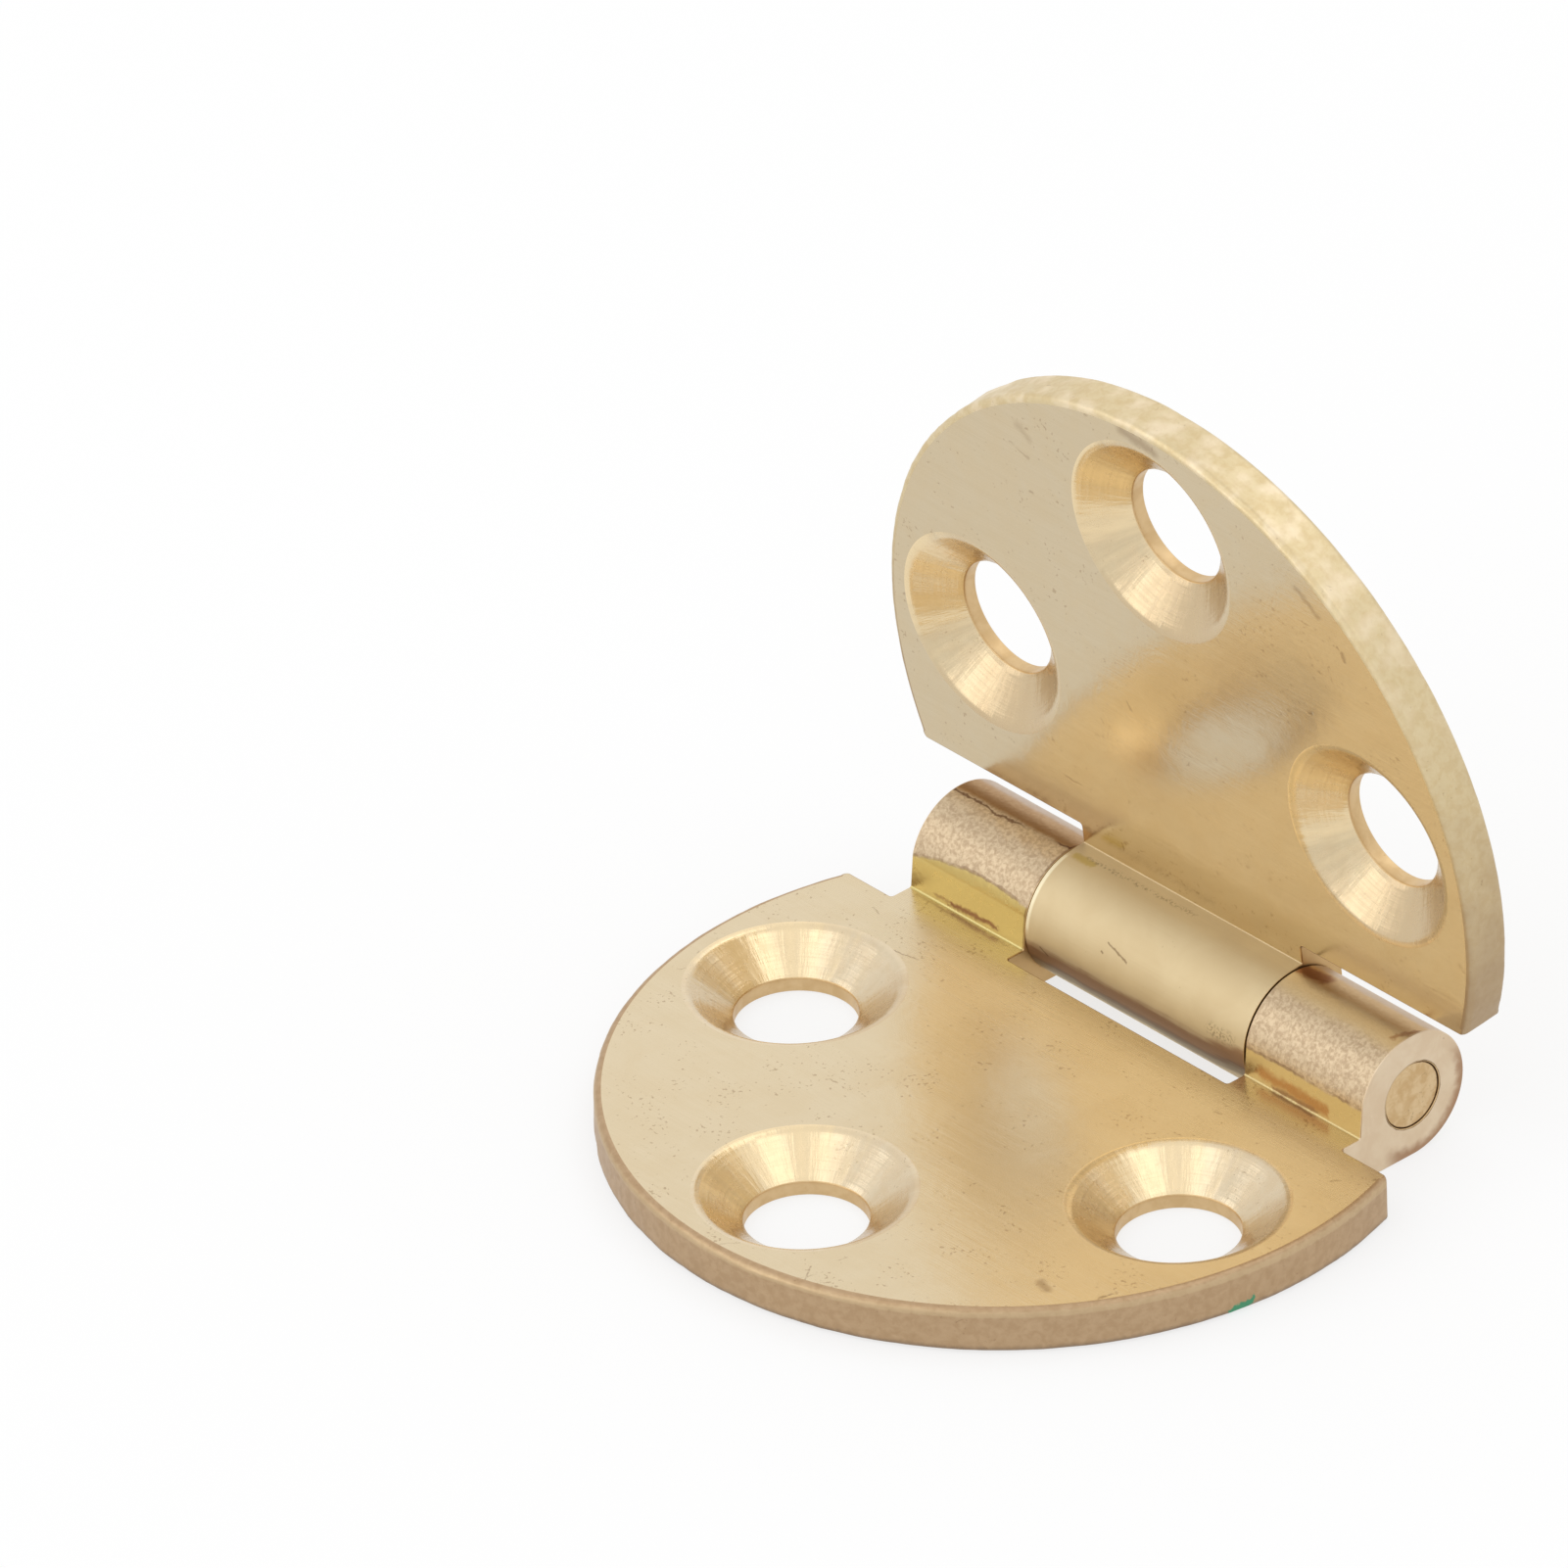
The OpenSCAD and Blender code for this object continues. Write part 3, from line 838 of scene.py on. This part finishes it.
def knuckleZones(tree, colour, rough, height):
    # Outer knuckles: a painted sheen in a pale strip at the back, then a brown band on the left one and a
    # golden one on the right, cast skin, and a yellow milled facet in front. The left one
    # has a jagged dark ridge, the right one a smooth top.
    around = useGroup(tree, "angle")
    angle, along = around["Angle"], around["Along"]
    lift = maths(tree, "ADD", around["Up"], hinge["axisHeight"])
    left = maths(tree, "LESS_THAN", along, 0.0)
    right = maths(tree, "SUBTRACT", 1.0, left)
    coarse, fine = wanderNoise(tree, 0.0011), wanderNoise(tree, 0.00028)
    turned = nudged(tree, angle, coarse, 10.0)
    jagged = nudged(tree, nudged(tree, angle, coarse, 12.0), fine, 7.0)

    # Facet: its upper border sags on the left knuckle
    sag = maths(tree, "POWER", maths(tree, "ADD", along, 8.0), 2.0)
    leftTop = maths(tree, "MULTIPLY_ADD", sag, 0.9, 153.5)
    top = addNode(tree, "ShaderNodeMix", {0: left, 2: 170.0, 3: leftTop}).outputs[0]
    above = maths(tree, "SUBTRACT", nudged(tree, nudged(tree, angle, coarse, 5.0), fine, 4.0), top)
    facet = rangeOf(tree, above, -1.5, 2.5)
    facetColour = mixColour(tree, left, stainsAndPaintedLight["rightFacet"], stainsAndPaintedLight["facet"])
    colour = mixColour(tree, facet, colour, facetColour)
    rough = nudged(tree, rough, facet, -0.14)
    crescent = maths(tree, "MULTIPLY", facet, left)
    crescent = maths(tree, "MULTIPLY", crescent, rangeOf(tree, angle, 166.5, 164.0))
    colour = tinted(tree, colour, crescent, 0.5, "crescent")
    border = maths(tree, "MULTIPLY", band(tree, above, -1.2, 0.4, 1.2), rangeOf(tree, coarse, -0.1, 0.08))
    colour = tinted(tree, colour, border, 0.45, "ridge")

    # Smooth top of the right knuckle
    smooth = maths(tree, "MULTIPLY", right, rangeOf(tree, turned, 118.0, 106.0))
    colour = tinted(tree, colour, smooth, 0.9, "smooth")

    # Back: a brown band on the left, a golden one on the right, and a painted sheen in a pale one on both
    backLeft = maths(tree, "MULTIPLY", left, band(tree, turned, 58.0, 91.0, 6.0))
    colour = tinted(tree, colour, backLeft, 0.85, "backBrown")
    backRight = maths(tree, "MULTIPLY", right, band(tree, turned, 48.0, 86.0, 8.0))
    colour = tinted(tree, colour, backRight, 0.8, "backGold")
    # painted sheen: a pale band where the back of both knuckles turns from view
    pale = band(tree, nudged(tree, angle, coarse, 8.0), 46.0, 64.0, 8.0)
    colour = tinted(tree, colour, pale, 0.65, "backPaintedSheen")
    rough = nudged(tree, rough, backLeft, -0.08)

    # Ridge of the left knuckle: two dark runs of one jagged line
    bow = maths(tree, "POWER", maths(tree, "ADD", along, 9.3), 2.0)
    middle = maths(tree, "MULTIPLY_ADD", bow, -0.5, 99.0)
    off = maths(tree, "SUBTRACT", jagged, middle)
    runs = maths(tree, "MAXIMUM", rangeOf(tree, along, -7.7, -8.5), rangeOf(tree, along, -6.7, -6.2))
    ridge = maths(tree, "MULTIPLY", maths(tree, "MULTIPLY", left, runs), band(tree, off, -0.5, 0.6, 1.3))
    colour = tinted(tree, colour, ridge, 0.75, "ridge")

    # Stains at the facet's foot, drawn in the plane of length and height, on the front only
    spot = [nudged(tree, nudged(tree, along, fine, 0.9), coarse, 0.8),
            nudged(tree, nudged(tree, lift, fine, 0.34), coarse, 0.3)]
    front = maths(tree, "LESS_THAN", around["Out"], 0.0)
    for line, reach, soft, strength, name in (
            ((-9.6, 2.03, -7.2, 2.06), 0.02, 0.14, 0.85, "footBrown"),
            ((-10.5, 2.02, -9.6, 2.03), 0.0, 0.10, 0.5, "footBrown"),
            ((6.6, 2.30, 9.9, 2.10), 0.04, 0.34, 0.75, "footOrange"),
            ((7.2, 1.90, 9.3, 1.92), 0.02, 0.14, 0.6, "footBrown")):
        foot = maths(tree, "MULTIPLY", front, nearLine(tree, spot, line, reach, soft))
        colour = tinted(tree, colour, foot, strength, name)

    # In length and arc: rust in the right knuckle's inner corner, a dark seam at the left
    # one's inner end, and a rusty burr by the right one's outer end
    arc = maths(tree, "MULTIPLY", angle, 2.5 * math.pi / 180)
    spot = [nudged(tree, along, fine, 0.4), nudged(tree, arc, fine, 0.3)]
    corner = nearLine(tree, spot, (5.6, 3.62, 6.8, 3.45), 0.18, 0.36)
    colour = tinted(tree, colour, corner, 0.9, "rust")
    seam = rangeOf(tree, nudged(tree, along, fine, 0.12), -5.90, -5.80)
    seam = maths(tree, "MULTIPLY", maths(tree, "MULTIPLY", seam, left), rangeOf(tree, coarse, -0.12, 0.02))
    colour = tinted(tree, colour, seam, 0.6, "ridge")
    burr = nearLine(tree, spot, (11.3, 4.42, 11.7, 3.5), 0.03, 0.14)
    colour = tinted(tree, colour, burr, 0.6, "rust")
    return colour, rough, height


def barrelZones(tree, colour, rough, height):
    # Middle knuckle: a brown band low on its front with a painted grey shade under it, a smooth top,
    # olive and dust by the leaf, a painted highlight along the edge at the left seam and three scratches.
    around = useGroup(tree, "angle")
    angle, along = around["Angle"], around["Along"]
    coarse, fine = wanderNoise(tree, 0.0013), wanderNoise(tree, 0.00022)
    streak = maths(tree, "SUBTRACT", stretchedNoise(tree, 0.003, 0.00016, 4.4), 0.5)
    drop = rangeOf(tree, along, 3.2, 5.6, 0.0, 9.0)
    turned = nudged(tree, nudged(tree, maths(tree, "ADD", angle, drop), coarse, 10.0), streak, 9.0)
    colour = tinted(tree, colour, band(tree, turned, 190.0, 200.0, 9.0), 0.7, "lowBrown")
    # painted shade: a grey band under the brown one, where the knuckle hangs over the slot's gap
    colour = tinted(tree, colour, band(tree, turned, 204.0, 212.0, 7.0), 0.5, "greyPaintedShade")
    top = rangeOf(tree, nudged(tree, angle, streak, 10.0), 108.0, 98.0)
    colour = tinted(tree, colour, top, 0.3, "smooth")
    arc = maths(tree, "MULTIPLY", angle, 2.5 * math.pi / 180)
    spot = [nudged(tree, along, fine, 0.3), nudged(tree, arc, fine, 0.25)]
    patch = nearLine(tree, spot, (-5.3, 4.22, -4.5, 4.2), 0.05, 0.2)
    colour = tinted(tree, colour, patch, 0.7, "olive")
    dust = rangeOf(tree, wanderNoise(tree, 0.00009), -0.02, 0.10)
    seam = nearLine(tree, spot, (-4.8, 4.02, 0.6, 3.93), 0.0, 0.16)
    colour = tinted(tree, colour, maths(tree, "MULTIPLY", seam, dust), 0.45, "junction")
    cloud = nearLine(tree, spot, (4.0, 7.5, 4.9, 7.5), 0.0, 0.45)
    colour = tinted(tree, colour, maths(tree, "MULTIPLY", cloud, dust), 0.5, "junction")
    # painted highlight: a pale line along the left seam's edge
    seamHighlightMask = band(tree, turned, 104.0, 172.0, 8.0)
    seamHighlightMask = maths(tree, "MULTIPLY", rangeOf(tree, along, -5.52, -5.60), seamHighlightMask)
    colour = tinted(tree, colour, seamHighlightMask, 0.9, "edgeHighlightPaint")
    for line in ((-1.68, 6.51, -0.62, 6.82), (-1.95, 6.86, -1.8, 6.95), (-4.95, 8.1, -4.6, 8.3)):
        colour = tinted(tree, colour, nearLine(tree, spot, line, 0.012, 0.045), 0.6, "scratch")
    return colour, rough, height


def ringZone(tree, colour, rough, height):
    # Old oil and painted shade in the seam round the pin, least at its upper front, a brown lower edge, and
    # gold on the ends that face each other between the knuckles.
    around = useGroup(tree, "angle")
    up, out = around["Up"], around["Out"]
    far = maths(tree, "SQRT", sumOfProducts(tree, up, up, out, out))
    fine = wanderNoise(tree, 0.0003)
    # painted shade with old oil: a dark ring in the gap round the pin, weaker at its upper front
    ring = band(tree, nudged(tree, far, fine, 0.06), 1.27, 1.345, 0.035)
    lean = maths(tree, "DIVIDE", maths(tree, "SUBTRACT", up, out), far)
    strength = rangeOf(tree, lean, 1.3, 0.5, 0.25, 0.9)
    colour = tinted(tree, colour, ring, strength, "seamOilAndShade")
    edge = rangeOf(tree, nudged(tree, far, fine, 0.35), 1.95, 2.4)
    edge = maths(tree, "MULTIPLY", edge, rangeOf(tree, up, 1.6, 0.2))
    edge = maths(tree, "MULTIPLY", edge, rangeOf(tree, out, -1.6, -0.6))
    colour = tinted(tree, colour, edge, 0.7, "lowBrown")
    inner = rangeOf(tree, maths(tree, "ABSOLUTE", around["Along"]), 6.4, 6.1)
    colour = tinted(tree, colour, inner, 0.85, "innerGold")
    return colour, rough, height


def lowerRimZones(tree, colour, rough, height):
    # Painted grey shade at the foot of the rim by the floor, lighter along its upper shoulder, and one
    # crumb of verdigris.
    split = addNode(tree, "ShaderNodeSeparateXYZ", {0: objectPlace(tree)}).outputs
    across = maths(tree, "MULTIPLY", split[1], 1000.0)
    lift = maths(tree, "MULTIPLY", split[2], 1000.0)
    fine = wanderNoise(tree, 0.00025)
    side = maths(tree, "GREATER_THAN", split[0], 0.0)
    spot = [nudged(tree, across, fine, 0.8), nudged(tree, lift, fine, 0.6)]
    crumb = maths(tree, "MULTIPLY", side, nearLine(tree, spot, (-3.2, 0.14, -2.5, 0.28), 0.12, 0.1))
    # painted shade: greyer at the foot, by the floor
    foot = rangeOf(tree, nudged(tree, lift, fine, 0.2), 0.36, 0.10)
    colour = tinted(tree, colour, foot, 0.5, "greyPaintedShade")
    shoulder = band(tree, nudged(tree, lift, fine, 0.12), 1.52, 1.66, 0.08)
    colour = tinted(tree, colour, shoulder, 0.35, "smooth")
    colour = tinted(tree, colour, crumb, 0.9, "verdigris")
    return colour, nudged(tree, rough, crumb, 0.3), height


def upperRimZones(tree, colour, rough, height):
    # Painted shade in brown low on the standing leaf, painted highlights as pale streaks high up, and a
    # dark smudge on top.
    split = addNode(tree, "ShaderNodeSeparateXYZ", {0: objectPlace(tree)}).outputs
    lift = maths(tree, "MULTIPLY", split[2], 1000.0)
    # painted shade: darker low on the standing leaf's rim
    low = rangeOf(tree, nudged(tree, lift, wanderNoise(tree, 0.0012), 6.0), 19.0, 6.0)
    colour = tinted(tree, colour, low, 0.75, "rimPaintedShade")
    # painted highlight: pale streaks high up on that rim
    paintedRimHighlight = rangeOf(tree, wanderNoise(tree, 0.0009, 5.0), -0.10, 0.22)
    paintedRimHighlight = maths(tree, "MULTIPLY", paintedRimHighlight, rangeOf(tree, lift, 16.0, 24.0))
    colour = tinted(tree, colour, paintedRimHighlight, 0.55, "streak")
    centred = maths(tree, "ABSOLUTE", maths(tree, "MULTIPLY_ADD", split[0], 1000.0, 0.3))
    smudge = rangeOf(tree, nudged(tree, centred, wanderNoise(tree, 0.0005), 1.5), 1.2, 0.5)
    inner = rangeOf(tree, maths(tree, "MULTIPLY", split[1], 1000.0), 5.55, 5.15)
    high = maths(tree, "GREATER_THAN", lift, 20.0)
    smudge = maths(tree, "MULTIPLY", maths(tree, "MULTIPLY", smudge, inner), high)
    colour = tinted(tree, colour, smudge, 0.5, "junction")
    return colour, rough, height


coneLook = finishLook(
    light=tone(229, 214, 187), dark=tone(210, 191, 158), roughLow=0.2, roughHigh=0.28,
    lineLength=0.0004, lineWidth=0.0004, lineDepth=2.0, speckAmount=0.45, speckSize=0.00011, speckDepth=0.4,
    grainSize=0.0009, mottle=0.3, mottleColour=tone(214, 188, 150))
boreLook = finishLook(
    light=tone(228, 200, 156), dark=tone(204, 172, 124), roughLow=0.32, roughHigh=0.42,
    lineLength=0.0008, lineWidth=0.0002, mottle=0.4, grainSize=0.0007, mottleColour=tone(196, 162, 112))
rimLook = finishLook(
    light=tone(202, 175, 141), dark=tone(172, 142, 108), oxide=tone(124, 92, 62),
    roughLow=0.36, roughHigh=0.46,
    grainSize=0.00036, grainDepth=6.0, mottle=0.3, mottleColour=tone(160, 128, 92),
    lineLength=0.0012, lineWidth=0.00016, speckAmount=0.3, speckSize=0.00016)
lowerTurn, upperTurn = 180.0, hinge["openAngle"]

finishes = {
    "lowerFace": brassMaterial("lowerFaceBrushed", finishLook(
        light=tone(223, 207, 177), dark=tone(207, 189, 155), roughLow=0.19, roughHigh=0.26, grainDepth=14.0,
        lineDepth=5.0, speckAmount=0.6, speckDepth=0.4),
        faceZones("lower", lowerTurn)),
    "upperFace": brassMaterial("upperFaceBrushed", finishLook(
        roughLow=0.11, roughHigh=0.16, lineDepth=3.6, speckAmount=0.5, grainSize=0.0012, grainDepth=9.0),
        faceZones("upper", upperTurn)),
    "seat": brassMaterial("leafUnderside", finishLook(
        light=tone(226, 204, 164), dark=tone(200, 172, 128), roughLow=0.3, roughHigh=0.4, mottle=0.35,
        mottleColour=tone(206, 172, 122), speckAmount=0.4)),
    # The two rims are one cast finish: the lower leaf's is painted darker as shade and the standing leaf's
    # lighter as lit from above.
    "lowerRim": brassMaterial("lowerRimCastShaded", rimLook, lowerRimZones),
    "upperRim": brassMaterial("upperRimCastLit", finishLook(
        **{**rimLook, "light": tone(230, 214, 176), "dark": tone(206, 185, 142),
           "mottleColour": tone(202, 175, 126), "mottle": 0.35}), upperRimZones),
    "lowerCone": brassMaterial(
        "lowerCountersink", coneLook, coneZones(lowerTurn, (-0.9, 0.4), (0.97, 0.2))),
    "upperCone": brassMaterial("upperCountersink", finishLook(
        **{**coneLook, "light": tone(220, 203, 170), "dark": tone(198, 178, 141)}),
        coneZones(upperTurn, (-0.96, -0.3), (0.3, 0.95))),
    "bore": brassMaterial("boreWall", boreLook),
    "slot": brassMaterial("slotEdgeSawn", finishLook(
        light=tone(206, 176, 134), dark=tone(160, 126, 90), roughLow=0.35, roughHigh=0.45,
        speckAmount=0.5)),
    "outerSkin": brassMaterial("knuckleCast", finishLook(
        light=tone(218, 198, 167), dark=tone(203, 181, 149), roughLow=0.38, roughHigh=0.46,
        grainSize=0.00016, grainDepth=12.0, mottle=0.5, mottleColour=tone(158, 130, 102),
        lineLength=0.0006, lineWidth=0.0003, speckAmount=0.2), knuckleZones),
    "middleSkin": brassMaterial("knuckleBrushed", finishLook(
        light=tone(226, 209, 173), dark=tone(210, 190, 151), roughLow=0.54, roughHigh=0.64, lineDepth=9.0,
        lineWidth=0.00009, lineLength=0.003), barrelZones),
    "end": brassMaterial("knuckleEndSawn", finishLook(
        light=tone(232, 214, 188), dark=tone(214, 192, 160), roughLow=0.34, roughHigh=0.42, speckAmount=0.2,
        lineLength=0.0005, lineWidth=0.0004, grainSize=0.0012, mottle=0.35,
        mottleColour=tone(206, 178, 144)), ringZone),
    "pin": brassMaterial("pinEnd", finishLook(
        light=tone(226, 201, 160), dark=tone(204, 174, 130), roughLow=0.3, roughHigh=0.42, speckAmount=0.5,
        lineLength=0.0004, lineWidth=0.0004, grainSize=0.0005, mottle=0.6,
        mottleColour=tone(192, 156, 104)), ringZone),
}
print("made", len(finishes), "finishes")


def finishSet(*names):
    return {name: finishes[name] for name in names}


lowX, highX = barrel["outerSpan"]
lowerLeaf = makePiece(
    "lowerLeafBrass",
    leafPatches("lower", [(-highX, -lowX), (lowX, highX)], barrel["boreOuter"], barrel["outerFacet"],
                hinge["lowerShoulder"], "outerSkin", "end", barrel["castGrain"], 11),
    lowerPlace, finishSet("lowerFace", "seat", "lowerRim", "slot", "lowerCone", "bore", "outerSkin", "end"))
upperLeaf = makePiece(
    "upperLeafBrass",
    leafPatches("upper", [barrel["middleSpan"]], barrel["boreMiddle"], barrel["middleFacet"],
                hinge["upperShoulder"], "middleSkin", "end", 0.0, 31),
    upperPlace, finishSet("upperFace", "seat", "upperRim", "upperCone", "bore", "middleSkin", "end"))
hingePin = makePiece("hingePinBrass", pinPatches(), lowerPlace, finishSet("pin"))

for piece, body, node, slot in (
        (lowerLeaf, "lower", "lower_leaf", "leaf_brass"),
        (upperLeaf, "upper", "upper_leaf", "leaf_brass"),
        (hingePin, "lower", "hinge_pin", "pin_brass")):
    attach(piece, body)
    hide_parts(node)
print("pieces ride on their bodies")


# Stage: a pale floor, a white room and seven soft lamps

stage = {
    "floorHalf": 1.5,
    "floorDrop": 0.00003,     # how far the floor lies under the hinge, in metres
    "floorColour": (0.86, 0.86, 0.86, 1.0),
    "floorWhite": 0.74,       # how much of the floor is plain white to the camera
    "roomLevel": 1.0,
    "overheadPower": 0.19, "overheadSize": 0.30,
    "frontPower": 0.60, "frontSize": 0.95,
    "backPower": 0.30, "backSize": 0.95,
    "sidePower": 0.65, "sideSize": 0.50,
    "lowPower": 0.97, "lowSize": 0.55,
    "rimPower": 0.68, "rimSize": 0.60,
}


def whiteRays(tree):
    # 1 for rays that come straight from the camera, or from it by gloss or glass.
    path = addNode(tree, "ShaderNodeLightPath").outputs
    seen = maths(tree, "MAXIMUM", path["Is Camera Ray"], path["Is Glossy Ray"])
    return maths(tree, "MAXIMUM", seen, path["Is Transmission Ray"])


def makeFloor():
    half = stage["floorHalf"]
    mesh = bpy.data.meshes.new("paleFloor")
    corners = [(-half, -half, 0), (half, -half, 0), (half, half, 0), (-half, half, 0)]
    mesh.from_pydata(corners, [], [(0, 1, 2, 3)])
    mesh.transform(Matrix.Translation((0, 0, -stage["floorDrop"])))
    material = bpy.data.materials.new("paleFloorPaint")
    material.use_nodes = True
    tree = material.node_tree
    tree.nodes.clear()
    matt = addNode(tree, "ShaderNodeBsdfDiffuse", {"Color": stage["floorColour"]})
    white = addNode(tree, "ShaderNodeEmission", {"Color": (1, 1, 1, 1), "Strength": 1.0})
    share = maths(tree, "MULTIPLY", whiteRays(tree), stage["floorWhite"])
    mixed = addNode(tree, "ShaderNodeMixShader", {0: share, 1: matt.outputs[0], 2: white.outputs[0]})
    addNode(tree, "ShaderNodeOutputMaterial", {"Surface": mixed.outputs[0]})
    mesh.materials.append(material)
    floor = bpy.data.objects.new("paleFloor", mesh)
    bpy.context.collection.objects.link(floor)


def makeRoom():
    world = bpy.data.worlds.new("whiteRoom")
    world.use_nodes = True
    bpy.context.scene.world = world
    tree = world.node_tree
    tree.nodes.clear()
    room = addNode(
        tree, "ShaderNodeBackground", {"Color": (1, 1, 1, 1), "Strength": stage["roomLevel"]})
    white = addNode(tree, "ShaderNodeBackground", {"Color": (1, 1, 1, 1), "Strength": 1.0})
    mixed = addNode(tree, "ShaderNodeMixShader", {
        0: whiteRays(tree), 1: room.outputs[0], 2: white.outputs[0]})
    addNode(tree, "ShaderNodeOutputWorld", {"Surface": mixed.outputs[0]})


def makeLamp(name, place, aim, power, size):
    data = bpy.data.lights.new(name, "AREA")
    data.shape = "SQUARE"
    data.size = size
    data.energy = power
    lamp = bpy.data.objects.new(name, data)
    bpy.context.collection.objects.link(lamp)
    lamp.location = place
    lamp.rotation_euler = (Vector(aim) - Vector(place)).to_track_quat("-Z", "Y").to_euler()


makeFloor()
makeRoom()
for name, place, kind in (
        ("leftSoftbox", (-0.03, -0.37, 0.71), "overhead"),
        ("rightSoftbox", (0.36, 0.07, 0.71), "overhead"),
        ("frontSoftbox", (0.25, -1.05, 0.68), "front"),
        ("backSoftbox", (-0.75, 0.66, 0.72), "back"),
        ("sideSoftbox", (-0.725, -0.69, 0.575), "side"),
        ("lowSoftbox", (-0.34, -1.10, 0.20), "low"),
        ("rimSoftbox", (0.0, 0.64, 0.95), "rim")):
    makeLamp(name, place, (0, 0.004, 0.006), stage[kind + "Power"], stage[kind + "Size"])
print("stage lit")


# Camera, solved from the hinge's edges in the photograph

view = {
    "azimuth": 48.594, "elevation": 32.706, "roll": -2.160,   # degrees
    "across": 14.433, "down": 8.677, "distance": 1000.0,      # millimetres
    "focalShare": 28523.184 / 1601,                           # focal length over the picture's width
}


def makeCamera():
    azimuth, elevation, roll = (math.radians(view[key]) for key in ("azimuth", "elevation", "roll"))
    level = math.cos(elevation)
    forward = Vector((-math.sin(azimuth) * level, math.cos(azimuth) * level, -math.sin(elevation)))
    flat = Vector((math.cos(azimuth), math.sin(azimuth), 0))
    raised = flat.cross(forward)
    right = math.cos(roll) * flat + math.sin(roll) * raised
    up = -math.sin(roll) * flat + math.cos(roll) * raised
    place = -view["across"] * right + view["down"] * up - view["distance"] * forward
    place += Vector((0, hinge["seatSetback"], 0))
    data = bpy.data.cameras.new("photoView")
    data.sensor_width = 36.0
    data.lens = view["focalShare"] * data.sensor_width
    data.clip_start, data.clip_end = 0.05, 20.0
    camera = bpy.data.objects.new("photoView", data)
    bpy.context.collection.objects.link(camera)
    turn = Matrix((right, up, -forward)).transposed().to_4x4()
    camera.matrix_world = Matrix.Translation(place / 1000) @ turn
    bpy.context.scene.camera = camera


makeCamera()
bpy.context.scene.view_settings.view_transform = "Standard"
print("camera placed")
